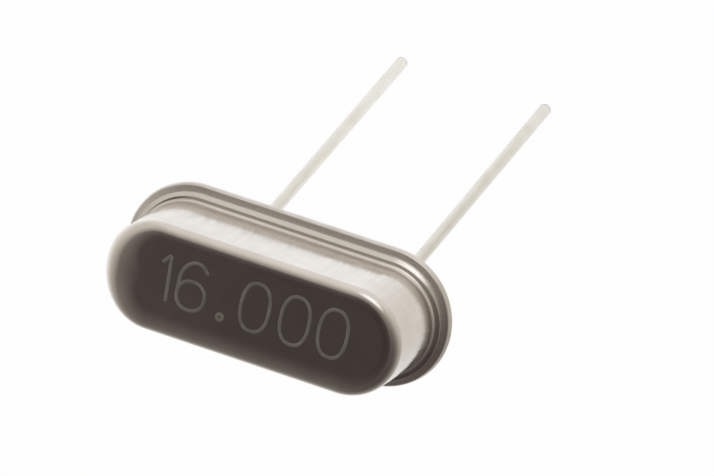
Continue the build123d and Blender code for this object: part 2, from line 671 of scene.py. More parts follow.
@dataclass(frozen=True)
class Finish:
    """A plain finish, with clouds in its colour and grain in its gloss and relief.

    Attributes:
        name: the material's name
        base: colour of the bare surface
        cloud: colour of its clouds
        smooth: lowest roughness
        grain_rough: what the grain adds to the roughness
        grain_size: size of the grain in millimetres
        depth: depth of the relief
        metallic: share of metal
        transmission: share of light that passes
    """

    name: str
    base: Colour
    cloud: Colour
    smooth: float
    grain_rough: float = 0.12
    grain_size: float = 0.04
    depth: float = 0.001 * MM
    metallic: float = 1.0
    transmission: float = 0.0

    def make(self, effects: Effects) -> bpy.types.Material:
        """Builds the material.

        Args:
            effects: the shared groups
        Returns:
            the material
        """
        maker = FinishMaker(self.name, effects, self.grain_size, Metallic=self.metallic,
                            Transmission_Weight=self.transmission)
        self.dress(maker)
        return maker.material

    def dress(self, maker: FinishMaker) -> None:
        """Lays the clouds over the colour and the grain over the rest.

        Args:
            maker: the new material
        """
        colour = maker.blend(maker.clouds, self.base, self.cloud)
        rough = maker.total(self.smooth, (maker.grain, self.grain_rough))
        maker.finish(colour, rough, maker.grain, self.depth)


@dataclass(frozen=True)
class PlatedSheet(Finish):
    """Bright plated sheet: drawing lines on the walls, clouds, hairlines, and a duller foot band that
    carries painted shade.

    Attributes:
        painted_foot_shade: colour of the painted shade on the wall's foot, where the wall mirrors the dark
            flange
        foot_band_levels: heights in millimetres between which the duller band of painted shade on the wall's
            foot begins, is full and ends
        haze_ends: X in millimetres at which a slow haze is full and where it ends
        line_density: drawing lines per millimetre
        line_length: their length in millimetres
        line_depth: their depth
        hair_width: width of the hairlines, as a share of their spacing
        wave_scale: slow waves of the sheet per millimetre
        cloud_share, grain_share, line_share, polish_share: how much each changes the colour
        cloud_rough, haze_rough, foot_band_rough: what clouds, haze and the foot band add to the roughness
        line_rough, hair_rough, polish_rough: what lines, hairlines and polish add to it
    """

    name: str = "plated_can_sheet"
    base: Colour = (0.985, 0.96, 0.935)
    cloud: Colour = (0.865, 0.83, 0.80)
    smooth: float = 0.08
    grain_size: float = 0.05
    depth: float = 0.004 * MM
    painted_foot_shade: Colour = (0.73, 0.67, 0.62)
    foot_band_levels: tuple[float, float, float, float] = (0.58, 0.68, 0.95, 1.45)
    haze_ends: tuple[float, float] = (-5.0, 1.0)
    line_density: float = 9.0
    line_length: float = 2.6
    line_depth: float = 0.0016 * MM
    hair_width: float = 0.008
    wave_scale: float = 0.9
    cloud_share: float = 0.5
    grain_share: float = 0.4
    line_share: float = 0.5
    polish_share: float = 0.5
    cloud_rough: float = 0.06
    haze_rough: float = 0.05
    foot_band_rough: float = 0.11
    line_rough: float = 0.07
    hair_rough: float = 0.03
    polish_rough: float = -0.03

    def dress(self, maker: FinishMaker) -> None:
        """Lays clouds, lines, polish and the foot's painted shade over the colour, and these, haze and
        hairlines over the gloss.

        Args:
            maker: the new material
        """
        lines = maker.lines(self.line_density, self.line_length)
        drawn = maker.math("MULTIPLY", lines, maker.layer(BRUSH_LAYER))
        polish = maker.polish()
        hairs = maker.group(maker.effects.scratches, Place=maker.solid, Width=self.hair_width)["Mask"]
        axes = maker.node("ShaderNodeSeparateXYZ", maker.solid).outputs
        # The foot band: painted shade on the wall just above the flange, which also dulls the gloss there
        begin, full, fade, end = self.foot_band_levels
        rise, fall = maker.span(axes["Z"], begin, full), maker.span(axes["Z"], fade, end, start=1.0, end=0.0)
        foot_band = maker.math("MULTIPLY", rise, fall)
        haze = maker.span(axes["X"], *self.haze_ends, start=1.0, end=0.0)
        mottle = maker.total(0.0, (maker.clouds, self.cloud_share), (maker.grain, self.grain_share))
        colour = maker.blend(mottle, self.base, self.cloud)
        colour = maker.blend(maker.math("MULTIPLY", drawn, self.line_share), colour, self.cloud)
        colour = maker.blend(maker.math("MULTIPLY", polish, self.polish_share), colour, self.base)
        # Painted shade: the wall's foot is darkened and warmed where it mirrors the dark flange
        colour = maker.blend(foot_band, colour, self.painted_foot_shade)
        rough = maker.total(self.smooth, (maker.clouds, self.cloud_rough), (haze, self.haze_rough),
                            (foot_band, self.foot_band_rough), (drawn, self.line_rough), (hairs, self.hair_rough),
                            (polish, self.polish_rough))
        waves = maker.noise(maker.solid, self.wave_scale, detail=1.0)
        height = maker.total(waves, (drawn, self.line_depth / self.depth))
        maker.finish(colour, rough, height, self.depth)


@dataclass(frozen=True)
class PressedPlate(Finish):
    """The header's pressed and plated plate: a little browner and duller than the can.

    Attributes:
        line_density: lines of rolling per millimetre
        line_length: their length in millimetres
        cloud_share, polish_share: how much each changes the colour
        line_rough, cloud_rough: what each adds to the roughness
        line_relief: height of the lines, as a share of the grain's
    """

    name: str = "plated_header"
    base: Colour = (0.92, 0.885, 0.86)
    cloud: Colour = (0.79, 0.74, 0.70)
    smooth: float = 0.29
    depth: float = 0.0012 * MM
    line_density: float = 14.0
    line_length: float = 3.0
    cloud_share: float = 0.7
    polish_share: float = 0.6
    line_rough: float = 0.08
    cloud_rough: float = 0.08
    line_relief: float = 0.5

    def dress(self, maker: FinishMaker) -> None:
        """Lays clouds and polished edges over the colour, and lines over gloss and relief.

        Args:
            maker: the new material
        """
        lines = maker.lines(self.line_density, self.line_length, angle=math.pi / 2)
        polish = maker.math("MULTIPLY", maker.polish(), self.polish_share)
        clouded = maker.blend(maker.math("MULTIPLY", maker.clouds, self.cloud_share), self.base, self.cloud)
        colour = maker.blend(polish, clouded, self.base)
        rough = maker.total(self.smooth, (lines, self.line_rough), (maker.clouds, self.cloud_rough))
        maker.finish(colour, rough, maker.total(maker.grain, (lines, self.line_relief)), self.depth)


@dataclass(frozen=True)
class TinnedWire(Finish):
    """Tinned round wire: soft satin with long lines and small dull spots.

    Attributes:
        line_density: lines per millimetre
        line_length: their length in millimetres
        line_rough: what they add to the roughness
        cloud_share: strength of the spots between the lines
        line_share: what the lines add to it
        grain_relief: height of the grain, as a share of the lines'
    """

    name: str = "tinned_wire"
    base: Colour = (0.92, 0.905, 0.85)
    cloud: Colour = (0.84, 0.81, 0.735)
    smooth: float = 0.17
    grain_rough: float = 0.10
    grain_size: float = 0.03
    depth: float = 0.0012 * MM
    line_density: float = 16.0
    line_length: float = 1.1
    line_rough: float = 0.10
    cloud_share: float = 0.3
    line_share: float = 0.5
    grain_relief: float = 0.5

    def dress(self, maker: FinishMaker) -> None:
        """Lays spots over the colour, and lines and grain over gloss and relief.

        Args:
            maker: the new material
        """
        lines = maker.lines(self.line_density, self.line_length)
        spots = maker.math("MULTIPLY", maker.clouds, maker.total(self.cloud_share, (lines, self.line_share)))
        colour = maker.blend(spots, self.base, self.cloud)
        rough = maker.total(self.smooth, (lines, self.line_rough), (maker.grain, self.grain_rough))
        maker.finish(colour, rough, maker.total(lines, (maker.grain, self.grain_relief)), self.depth)


@dataclass(frozen=True)
class SealGlass(Finish):
    """Dark green sealing glass with a cloudy body.

    Attributes:
        index: index of refraction
        coat: weight of the fire-polished skin
        coat_rough: roughness of that skin
    """

    name: str = "sealing_glass"
    base: Colour = (0.035, 0.075, 0.062)
    cloud: Colour = (0.075, 0.12, 0.10)
    smooth: float = 0.06
    grain_rough: float = 0.06
    grain_size: float = 0.025
    depth: float = 0.003 * MM
    metallic: float = 0.0
    index: float = 1.52
    coat: float = 0.4
    coat_rough: float = 0.03

    def dress(self, maker: FinishMaker) -> None:
        """Lays the clouds over colour and relief, under the glossy skin.

        Args:
            maker: the new material
        """
        colour = maker.blend(maker.clouds, self.base, self.cloud)
        rough = maker.total(self.smooth, (maker.grain, self.grain_rough))
        maker.feed(maker.shader, IOR=self.index, Coat_Weight=self.coat, Coat_Roughness=self.coat_rough)
        maker.finish(colour, rough, maker.clouds, self.depth)


@dataclass(frozen=True)
class EtchedMark(Finish):
    """The dull grey that a laser leaves in plating, softer towards the edges of a stroke.

    Attributes:
        plating: colour at a stroke's edges
        full_wear: share of wear at which a stroke is fully etched
        etch_rough: how much rougher its middle is
    """

    name: str = "etched_mark"
    base: Colour = (0.57, 0.57, 0.55)
    cloud: Colour = (0.44, 0.435, 0.42)
    smooth: float = 0.12
    grain_size: float = 0.03
    depth: float = 0.0008 * MM
    plating: Colour = (0.88, 0.85, 0.83)
    full_wear: float = 0.9
    etch_rough: float = 0.45

    def dress(self, maker: FinishMaker) -> None:
        """Lays the etched grey over the plating, as far as the stroke is etched.

        Args:
            maker: the new material
        """
        etched = maker.span(maker.layer(WEAR_LAYER), 0.0, self.full_wear)
        grey = maker.blend(maker.clouds, self.base, self.cloud)
        rough = maker.total(self.smooth, (etched, self.etch_rough))
        height = maker.math("MULTIPLY", maker.grain, etched)
        maker.finish(maker.blend(etched, self.plating, grey), rough, height, self.depth)


# Sub-assemblies


@dataclass(frozen=True)
class EdgeForm:
    """The can in one section: a border that falls away, its rounding, the wall's lean, the flange's lip.

    Attributes:
        rounding: radius between top and wall
        crown_width: width of the top's border
        crown_degrees: slope of the border where the rounding starts
        foot_out: how far the wall's foot stands out past its nominal place
        head_out: the same for its head
        foot_degrees: how far the hollow rounding at its foot turns
        lip_width: width of the bevel on the flange's edge
        lip_degrees: slope of that bevel
    """

    rounding: float
    crown_width: float
    crown_degrees: float
    foot_out: float
    head_out: float = 0.027 * MM
    foot_degrees: float = 90.0
    lip_width: float = 0.012 * MM
    lip_degrees: float = 40.0


# The can's four sections; the two sides and the two ends were drawn a little differently
CAN_EDGES = {
    Toward.FRONT: EdgeForm(rounding=0.31 * MM, crown_width=0.50 * MM, crown_degrees=7.2,
                           foot_out=0.050 * MM),
    Toward.BACK: EdgeForm(rounding=0.29 * MM, crown_width=0.25 * MM, crown_degrees=8.0, foot_out=-0.01 * MM,
                          head_out=0.0, lip_width=0.110 * MM),
    Toward.RIGHT: EdgeForm(rounding=0.33 * MM, crown_width=0.25 * MM, crown_degrees=9.0,
                           foot_out=0.047 * MM),
    Toward.LEFT: EdgeForm(rounding=0.62 * MM, crown_width=0.80 * MM, crown_degrees=5.5, foot_out=0.027 * MM,
                          foot_degrees=65.0, lip_width=0.155 * MM, lip_degrees=27.0),
}


@dataclass
class Can:
    """The drawn can with its narrow weld flange.

    Attributes:
        length: nominal length over the walls
        width: nominal width over the walls
        sheet: thickness of the sheet
        edges: form of the edges towards each of the four sides
        mark_height: height that is left for the mark on the top
        foot_radius: hollow rounding between wall and flange
        mouth_radius: rounding inside the mouth
        edge_wear: share of polish on the rounding between top and wall
        crown_steps: steps across the top's border
        outline: the columns round the can
    """

    length: float = 9.70 * MM
    width: float = 3.40 * MM
    sheet: float = 0.20 * MM
    edges: dict[Toward, EdgeForm] = field(default_factory=CAN_EDGES.copy)
    mark_height: float = 0.003 * MM
    foot_radius: float = 0.09 * MM
    mouth_radius: float = 0.14 * MM
    edge_wear: float = 0.6
    crown_steps: int = 16
    outline: SlotOutline = SlotOutline()

    def __post_init__(self) -> None:
        """Takes the flange and the top from the frame."""
        low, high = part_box("cap")
        self.seat, self.top = low.z, high.z
        self.core, self.reach = (self.length - self.width) / 2, self.width / 2
        self.flange_reach = high.y

    @property
    def face(self) -> float:
        """Height of the bare top face, just below the mark's ridge."""
        return self.top - self.mark_height

    def section(self, edge: EdgeForm) -> np.ndarray:
        """The section from the middle of the top, down the outside and up the inside to the ceiling.

        In its border the top falls as the square of the distance, until it has the crown's slope.

        Args:
            edge: form of the edges
        Returns:
            the points of the Meridian
        """
        slope = math.radians(edge.crown_degrees)
        head, foot = self.reach + edge.head_out, self.reach + edge.foot_out
        start = head - edge.rounding * (1 - math.sin(slope)) - edge.crown_width
        share = np.linspace(0, 1, self.crown_steps + 1)[1:]
        fall = math.tan(slope) * edge.crown_width / 2
        line = Meridian(self.core, 0.0, self.face)
        line.line(start, self.face, steps=14)
        line.run(self.core, start + share * edge.crown_width, self.face - fall * share**2)
        middle = self.face - fall - edge.rounding * math.cos(slope)
        line.arc(head - edge.rounding, middle, edge.rounding, (90 - edge.crown_degrees, 0), steps=32,
                 wear=self.edge_wear)
        land = self.seat + self.sheet
        hollow = land + self.foot_radius
        line.line(foot, hollow, steps=24, brush=1.0)
        line.arc(foot + self.foot_radius, hollow, self.foot_radius, (180, 180 + edge.foot_degrees), steps=14)
        drop = edge.lip_width * math.tan(math.radians(edge.lip_degrees))
        line.line(self.flange_reach - edge.lip_width, land, steps=5)
        line.line(self.flange_reach, land - drop, steps=10)
        line.line(self.flange_reach, self.seat, steps=5)
        inner = self.reach - self.sheet
        mouth = inner + self.mouth_radius
        line.line(mouth, self.seat, steps=4)
        line.arc(mouth, self.seat + self.mouth_radius, self.mouth_radius, (270, 180), steps=8)
        ceiling = self.top - self.sheet
        rounding = self.edges[Toward.FRONT].rounding
        line.line(inner, ceiling - rounding, steps=6)
        line.arc(inner - rounding, ceiling - rounding, rounding, (0, 90), steps=8)
        line.line(0.0, ceiling, steps=6)
        return line.table()

    def build(self, material: bpy.types.Material) -> None:
        """Makes the can as its sections carried round the slot outline.

        Args:
            material: the finish
        """
        sections = {side: self.section(edge) for side, edge in self.edges.items()}
        shell = self.outline.carry(sections, (self.core, self.reach))
        settle(closed_mesh("can_shell", [shell]), Slot.CAN, material, "cap")


@dataclass(frozen=True)
class RimForm:
    """The outer edge of the header's rim in one section.

    Attributes:
        lean_degrees: lean of the rim's side, inwards to its top
        rounding: radius of the upper edge
        turn_degrees: slope at which that rounding meets the ledge
        ledge_degrees: fall of the ledge outside the can's flange
    """

    lean_degrees: float = 0.0
    rounding: float = 0.15 * MM
    turn_degrees: float = 52.0
    ledge_degrees: float = 7.0


# The rim's four sections; the weld left the two ends a little different from the sides
HEADER_RIMS = {
    Toward.FRONT: RimForm(),
    Toward.BACK: RimForm(),
    Toward.RIGHT: RimForm(lean_degrees=20.0, rounding=0.06 * MM, turn_degrees=60.0),
    Toward.LEFT: RimForm(ledge_degrees=25.0),
}


@dataclass
class Header:
    """The base plate: weld rim, platform inside the can, and an eyelet hole for each lead.

    Attributes:
        can: the can that is welded on it
        rim_thickness: thickness of the rim
        rims: form of the rim towards each of the four sides
        edge_radius: rounding of the rim's lower edge
        edge_wear: share of polish on that rounding
        platform_width: width of the platform
        platform_chamfer: bevel of the platform's edge
        hole_radius: radius of the eyelet holes
        face_steps: steps from a hole to the edge of its face
        face_power: the higher it is, the finer they are near the hole
        cut_steps: steps along the line between the halves of a face
        outline: the columns round the header
    """

    can: Can
    rim_thickness: float = 0.30 * MM
    rims: dict[Toward, RimForm] = field(default_factory=HEADER_RIMS.copy)
    edge_radius: float = 0.10 * MM
    edge_wear: float = 0.8
    platform_width: float = 2.80 * MM
    platform_chamfer: float = 0.10 * MM
    hole_radius: float = HOLE_RADIUS
    face_steps: int = 8
    face_power: float = 1.5
    cut_steps: int = 24
    outline: SlotOutline = SlotOutline()

    def __post_init__(self) -> None:
        """Takes the rim and the platform's height from the frame."""
        low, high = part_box("header")
        self.under, self.platform_top = low.z, high.z
        self.reach, self.core = high.y, high.x - high.y

    def section(self, rim: RimForm) -> np.ndarray:
        """The section from the underside's edge, round the rim and up to the platform's edge.

        The rounding's centre is where it touches the leaning side and ends on the falling ledge, from one
        linear equation for each of the two lines.

        Args:
            rim: form of the rim
        Returns:
            the points of the Meridian
        """
        degrees = (rim.lean_degrees, rim.turn_degrees, rim.ledge_degrees)
        lean, turn, ledge = (math.radians(angle) for angle in degrees)
        flat, low = self.reach - self.edge_radius, self.under + self.edge_radius
        rim_top = self.under + self.rim_thickness
        side_line = math.cos(lean) * flat + math.sin(lean) * low + self.edge_radius - rim.rounding
        ledge_run = self.can.flange_reach - rim.rounding * math.cos(turn)
        ledge_line = rim_top + ledge_run * math.tan(ledge) - rim.rounding * math.sin(turn)
        lines = [[math.cos(lean), math.sin(lean)], [math.tan(ledge), 1.0]]
        out, up = np.linalg.solve(lines, [side_line, ledge_line])
        line = Meridian(self.core, flat, self.under)
        line.arc(flat, low, self.edge_radius, (270, 360 + rim.lean_degrees), steps=10, wear=self.edge_wear)
        line.line(out + rim.rounding * math.cos(lean), up + rim.rounding * math.sin(lean), steps=4)
        line.arc(out, up, rim.rounding, (rim.lean_degrees, rim.turn_degrees), steps=10)
        line.line(self.can.flange_reach, rim_top, steps=8)
        platform = self.platform_width / 2
        line.core = self.can.core
        line.line(platform, rim_top, steps=8)
        line.line(platform, self.platform_top - self.platform_chamfer, steps=3)
        line.line(platform - self.platform_chamfer, self.platform_top, steps=2)
        return line.table()

    def faces(self, section: np.ndarray) -> list[Grid]:
        """The underside and the platform's top, each as two halves with a hole, and the walls of the holes.

        A half runs from the hole's rim straight out to its loop: rim plus share times (loop minus rim). The
        rim's angles come from the underside's loop, so that both faces share the hole's wall.

        Args:
            section: the section, for its first and last points
        Returns:
            the grids
        """
        share = (np.linspace(0, 1, self.face_steps + 1) ** self.face_power)[:, None, None]
        loops = [self.outline.halves(core, reach, self.cut_steps) for core, reach in section[[0, -1], :2]]
        heights = (self.under, self.platform_top)
        grids = []
        for side in Side:
            centre = np.array([side.x, 0.0])
            outward = loops[0][side] - centre
            rim = centre + self.hole_radius * outward / np.linalg.norm(outward, axis=1)[:, None]
            for loop, height in zip(loops, heights):
                flat = rim + share * (loop[side] - rim)
                level = np.full((*flat.shape[:2], 1), height)
                grids.append(Grid(np.concatenate([flat, level], axis=-1)))
            ends = [np.column_stack([rim, np.full(len(rim), height)]) for height in heights]
            grids.append(Grid(np.stack(ends)))
        return grids

    def build(self, material: bpy.types.Material) -> None:
        """Makes the header as its sections carried round the rim, closed by its two faces.

        Args:
            material: the finish
        """
        sections = {side: self.section(rim) for side, rim in self.rims.items()}
        edge = self.outline.carry(sections, (self.core, self.reach))
        faces = self.faces(sections[Toward.FRONT])
        settle(closed_mesh("header_plate", [edge, *faces]), Slot.HEADER, material, "header")


@dataclass
class Lead:
    """A round wire that leaves the header straight and then leans to +Y.

    Attributes:
        side: which lead
        radius: radius of the wire
        stub: height of the header's underside above the corner of the bend
        run: length from that corner to the tip
        lean_degrees: lean of the lower run
        bend_radius: radius of the bend
        tip_bevel: bevel of the cut end
        rows: points along the wire
        bevel_steps: steps along the bevel
        columns: steps round the wire
    """

    side: Side
    radius: float = WIRE_RADIUS
    stub: float = 2.8 * MM
    run: float = 11.5 * MM
    lean_degrees: float = 16.0
    bend_radius: float = 12.0 * MM
    tip_bevel: float = 0.07 * MM
    rows: int = 160
    bevel_steps: int = 4
    columns: int = 48

    def __post_init__(self) -> None:
        """Takes the upper end from the frame, and works out the bend's start and the wire's length."""
        self.node = f"lead_{self.side.word}"
        self.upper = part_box(self.node)[1].z
        self.lean = math.radians(self.lean_degrees)
        corner = self.bend_radius * math.tan(self.lean / 2)
        self.straight = self.upper + self.stub - corner
        self.length = self.straight + self.bend_radius * self.lean + self.run - corner

    def path(self, distance: np.ndarray) -> tuple[np.ndarray, np.ndarray, np.ndarray]:
        """The wire's middle line: straight down, then an arc, then straight along the lean.

        Args:
            distance: distances from the wire's upper end
        Returns:
            Y and Z of the middle, and the direction's angle from straight down
        """
        turned = np.clip((distance - self.straight) / self.bend_radius, 0, self.lean)
        rest = np.maximum(distance - self.straight - self.bend_radius * self.lean, 0)
        y = self.bend_radius * (1 - np.cos(turned)) + rest * np.sin(self.lean)
        sunk = np.minimum(distance, self.straight) + self.bend_radius * np.sin(turned)
        sunk = sunk + rest * np.cos(self.lean)
        return y, self.upper - sunk, turned

    def build(self, material: bpy.types.Material) -> None:
        """Makes the wire as a circle carried along its path: middle plus reach times normal.

        Args:
            material: the finish
        """
        body = np.linspace(0, self.length - self.tip_bevel, self.rows)
        bevel = self.tip_bevel * np.linspace(0, 1, self.bevel_steps + 1)[1:]
        along = np.concatenate([[0], body, body[-1] + bevel, [self.length]])
        reach = np.concatenate([[0], np.full(len(body), self.radius), self.radius - bevel, [0]])[:, None]
        y, z, turned = (values[:, None] for values in self.path(along))
        turn = np.linspace(0, FULL_TURN, self.columns + 1)
        beside = reach * np.sin(turn)
        x = self.side.x + reach * np.cos(turn)
        points = (x, y + beside * np.cos(turned), z + beside * np.sin(turned))
        place = np.stack(np.broadcast_arrays(self.radius * turn / MM, along[:, None] / MM), axis=-1)
        wire = closed_mesh(f"wire_{self.side.word}", [Grid(np.stack(points, axis=-1), place)])
        settle(wire, Slot.LEAD, material, self.node)


@dataclass
class GlassSeal:
    """A glass bead in an eyelet hole, hollowed between header and wire.

    Attributes:
        side: which lead it holds
        wire_radius: radius of the wire
        radius: radius of the hole
        meniscus: depth of the hollow
        steps: steps across an end
        columns: steps round the bead
    """

    side: Side
    wire_radius: float = WIRE_RADIUS
    radius: float = HOLE_RADIUS
    meniscus: float = 0.05 * MM
    steps: int = 16
    columns: int = 64

    def build(self, material: bpy.types.Material) -> None:
        """Makes the bead as a turned ring whose ends sag as 1 - (2 t - 1) squared.

        Args:
            material: the finish
        """
        node = f"glass_seal_{self.side.word}"
        low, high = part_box(node)
        share = np.linspace(0, 1, self.steps + 1)
        sag = self.meniscus * (1 - (2 * share - 1) ** 2)
        out = self.wire_radius + share * (self.radius - self.wire_radius)
        reach = np.concatenate([out, out[::-1], out[:1]])[:, None]
        height = np.concatenate([low.z + sag, (high.z - sag)[::-1], [low.z]])[:, None]
        turn = np.linspace(0, FULL_TURN, self.columns + 1)
        points = np.broadcast_arrays(self.side.x + reach * np.cos(turn), reach * np.sin(turn), height)
        bead = closed_mesh(f"seal_{self.side.word}", [Grid(np.stack(points, axis=-1))])
        settle(bead, Slot.GLASS, material, node)


@dataclass(frozen=True)
class Stroke:
    """One stroke of a numeral.

    Attributes:
        points: X and Y along the stroke, shaped points by 2
        closed: whether it runs back to its start
    """

    points: np.ndarray
    closed: bool = False


@dataclass
class FrequencyMark:
    """The frequency in megahertz, etched in thin strokes on the can's top.

    Attributes:
        can: the can that carries it
        half_width: half of a stroke's width
        half_height: half of a numeral's height
        middle: Y of the numerals' middle
        zero_width: half-width of a zero
        zeros: X of the zeros' middles
        one: X of the middle of the one
        stem: X of its stem's head and foot from there
        flag: X and Y of its flag's tip, from its middle and its head
        six: X of the middle of the six
        bowl: X of its bowl's middle from there, and the bowl's half-width
        bowl_share: half-height of the bowl, as a share of the numeral's height
        spine: X and Y of the middle of its spine's arc, from the middles of the six and of the numerals
        spine_width: half-width of that arc
        spine_turn: first and last angle of the arc in degrees
        spine_foot: X of the spine's foot from the middle of the six
        point: X of the decimal point
        point_lift: Y of its middle above the numerals' foot
        point_radius: its radius
        ridge_steps: steps round a stroke's section
    """

    can: Can
    half_width: float = 0.062 * MM
    half_height: float = 0.755 * MM
    middle: float = 0.122 * MM
    zero_width: float = 0.457 * MM
    zeros: tuple[float, ...] = (0.20 * MM, 1.507 * MM, 2.756 * MM)
    one: float = -2.658 * MM
    stem: tuple[float, float] = (-0.04 * MM, 0.05 * MM)
    flag: tuple[float, float] = (-0.30 * MM, -0.32 * MM)
    six: float = -1.858 * MM
    bowl: tuple[float, float] = (-0.01 * MM, 0.45 * MM)
    bowl_share: float = 0.30
    spine: tuple[float, float] = (0.02 * MM, 0.10 * MM)
    spine_width: float = 0.48 * MM
    spine_turn: tuple[float, float] = (35.0, 190.0)
    spine_foot: float = -0.46 * MM
    point: float = -0.830 * MM
    point_lift: float = 0.12 * MM
    point_radius: float = 0.09 * MM
    ridge_steps: int = 16

    def loop(self, x: float, y: float, half_x: float, half_y: float, power: float = 2.4) -> Stroke:
        """A superellipse: on each axis a half-size times |cos| or |sin| to the power 2 / power.

        Args:
            x: middle
            y: middle
            half_x: half-width
            half_y: half-height
            power: 2 for an ellipse, more for straighter sides
        Returns:
            the closed stroke
        """
        turn = np.linspace(0, FULL_TURN, num=97)
        cos, sin = np.cos(turn), np.sin(turn)
        across = half_x * np.sign(cos) * np.abs(cos) ** (2 / power)
        along = half_y * np.sign(sin) * np.abs(sin) ** (2 / power)
        return Stroke(np.stack([x + across, y + along], axis=-1), closed=True)

    def strokes(self) -> list[Stroke]:
        """Draws the mark.

        Returns:
            its strokes: the one's stem and flag, the six's spine and bowl, the point and the zeros
        """
        high, low = self.middle + self.half_height, self.middle - self.half_height
        head = [self.one + self.stem[0], high]
        stem = np.linspace(head, [self.one + self.stem[1], low], num=24)
        flag = np.linspace(head, [self.one + self.flag[0], high + self.flag[1]], num=12)
        bowl_height = self.bowl_share * self.half_height * 2
        bowl_y = low + bowl_height
        bowl = self.loop(self.six + self.bowl[0], bowl_y, self.bowl[1], bowl_height, power=2.2)
        turn = np.radians(np.linspace(*self.spine_turn, num=40))
        spine_y = self.middle + self.spine[1]
        arc_x = self.six + self.spine[0] + self.spine_width * np.cos(turn)
        arc = np.stack([arc_x, spine_y + (high - spine_y) * np.sin(turn)], axis=-1)
        down = np.linspace(arc[-1], [self.six + self.spine_foot, bowl_y], num=12)[1:]
        spine = np.concatenate([arc, down])
        point = self.loop(self.point, low + self.point_lift, self.point_radius, self.point_radius, power=2.0)
        zeros = [self.loop(x, self.middle, self.zero_width, self.half_height) for x in self.zeros]
        return [Stroke(stem), Stroke(flag), Stroke(spine), bowl, point, *zeros]

    def ridge(self, stroke: Stroke) -> Grid:
        """A flat ridge along a stroke: an ellipse carried along it, drawn in to a point at open ends.

        Args:
            stroke: the stroke
        Returns:
            the ridge, with its crest at the can's full height
        """
        points = stroke.points
        heading = np.gradient(points, axis=0)
        if stroke.closed:
            heading[[0, -1]] = points[1] - points[-2]
        heading = heading / np.linalg.norm(heading, axis=1)[:, None]
        normal = np.stack([-heading[:, 1], heading[:, 0]], axis=-1)
        gone = distances(points)
        near = np.minimum(gone, gone[-1] - gone) / self.half_width
        width = np.ones(len(points)) if stroke.closed else np.sqrt(1 - (1 - np.clip(near, 0, 1)) ** 2)
        turn = np.linspace(0, FULL_TURN, self.ridge_steps + 1)
        across = self.half_width * width[:, None] * np.cos(turn)
        flat = points[:, None, :] + across[..., None] * normal[:, None, :]
        crest = np.broadcast_to(np.sin(turn), across.shape) * width[:, None]
        height = self.can.top + 2 * self.can.mark_height * (crest - 1)
        return Grid(np.concatenate([flat, height[..., None]], axis=-1), wear=np.clip(crest, 0, 1))

    def build(self, material: bpy.types.Material) -> None:
        """Makes all strokes as one piece with its finish."""
        grids = [self.ridge(stroke) for stroke in self.strokes()]
        settle(closed_mesh("frequency_mark", grids), Slot.CAN, material)


@dataclass(frozen=True)
class Insides:
    """The sealed inner pieces, which keep their CAD solids and only get a finish.

    Attributes:
        clip: finish of the spring clips
        quartz: finish of the quartz strip
        electrode: finish of the silver films
        bond: finish of the dots of adhesive
    """

    clip: Finish = Finish("spring_clip", (0.78, 0.74, 0.66), (0.62, 0.57, 0.50), smooth=0.26)
    quartz: Finish = Finish("quartz_plate", (0.88, 0.90, 0.92), (0.80, 0.84, 0.87), smooth=0.12,
                            metallic=0.0, transmission=0.7)
    electrode: Finish = Finish("silver_film", (0.93, 0.92, 0.90), (0.84, 0.82, 0.79), smooth=0.18)
    bond: Finish = Finish("conductive_paste", (0.46, 0.45, 0.43), (0.34, 0.33, 0.31), smooth=0.55,
                          metallic=0.6, grain_size=0.02)

    def dress(self, effects: Effects) -> None:
        """Gives each inner node the finish whose word its name begins with.

        Args:
            effects: the shared groups
        """
        finishes = {"clip": self.clip, "quartz": self.quartz, "electrode": self.electrode, "bond": self.bond}
        for word, finish in finishes.items():
            material = finish.make(effects)
            for name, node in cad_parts.items():
                if name.startswith(word):
                    node.data.materials.clear()
                    node.data.materials.append(material)
                    log.info("%s: dressed as %s", name, finish.name)


# Studio


@dataclass(frozen=True)
class Viewpoint:
    """The camera: a very long lens that looks down on the can's top.

    Attributes:
        azimuth: degrees round the object, where 0 looks along +Y
        elevation: degrees above the horizon
        roll: degrees that the camera is turned about its own axis
        aim: the point in the middle of the picture
        distance: distance from the aim to the camera
        lens: focal length in millimetres
        sensor: sensor width in millimetres
        clip_ratio: how many times nearer and farther than the aim the camera sees
    """

    azimuth: float = 137.949
    elevation: float = 64.678
    roll: float = -122.464
    aim: tuple[float, float, float] = (1.7523 * MM, 2.0340 * MM, 0.0)
    distance: float = 360.04 * MM
    lens: float = 605.04
    sensor: float = 36.0
    clip_ratio: float = 10.0

    def place(self) -> None:
        """Makes the scene's camera from its angles."""
        turn, lift, roll = (math.radians(a) for a in (self.azimuth, self.elevation, self.roll))
        flat = math.cos(lift)
        back = Vector((math.sin(turn) * flat, -math.cos(turn) * flat, math.sin(lift)))
        level = Vector((0, 0, 1)).cross(back).normalized()
        upright = back.cross(level)
        right = level * math.cos(roll) + upright * math.sin(roll)
        up = upright * math.cos(roll) - level * math.sin(roll)
        data = bpy.data.cameras.new("camera")
        data.lens, data.sensor_width = self.lens, self.sensor
        data.clip_start, data.clip_end = self.distance / self.clip_ratio, self.distance * self.clip_ratio
        camera = add_object("camera", data)
        facing = Matrix((right, up, back)).transposed().to_4x4()
        camera.matrix_world = Matrix.Translation(Vector(self.aim) + back * self.distance) @ facing
        bpy.context.scene.camera = camera


@dataclass(frozen=True)
class Lobe:
    """A soft-edged part of the room round one direction.

    Attributes:
        toward: direction of its middle
        fade: cosine of the angle at which it begins
        full: cosine at which it would be full
    """

    toward: Direction
    fade: float
    full: float

    def share(self, wiring: Wiring, direction: Socket) -> Socket:
        """The lobe's share in a direction, a smooth step of the cosine to its middle."""
        near = wiring.vector("DOT_PRODUCT", direction, tuple(Vector(self.toward).normalized()))
        return wiring.span(near, self.fade, self.full)


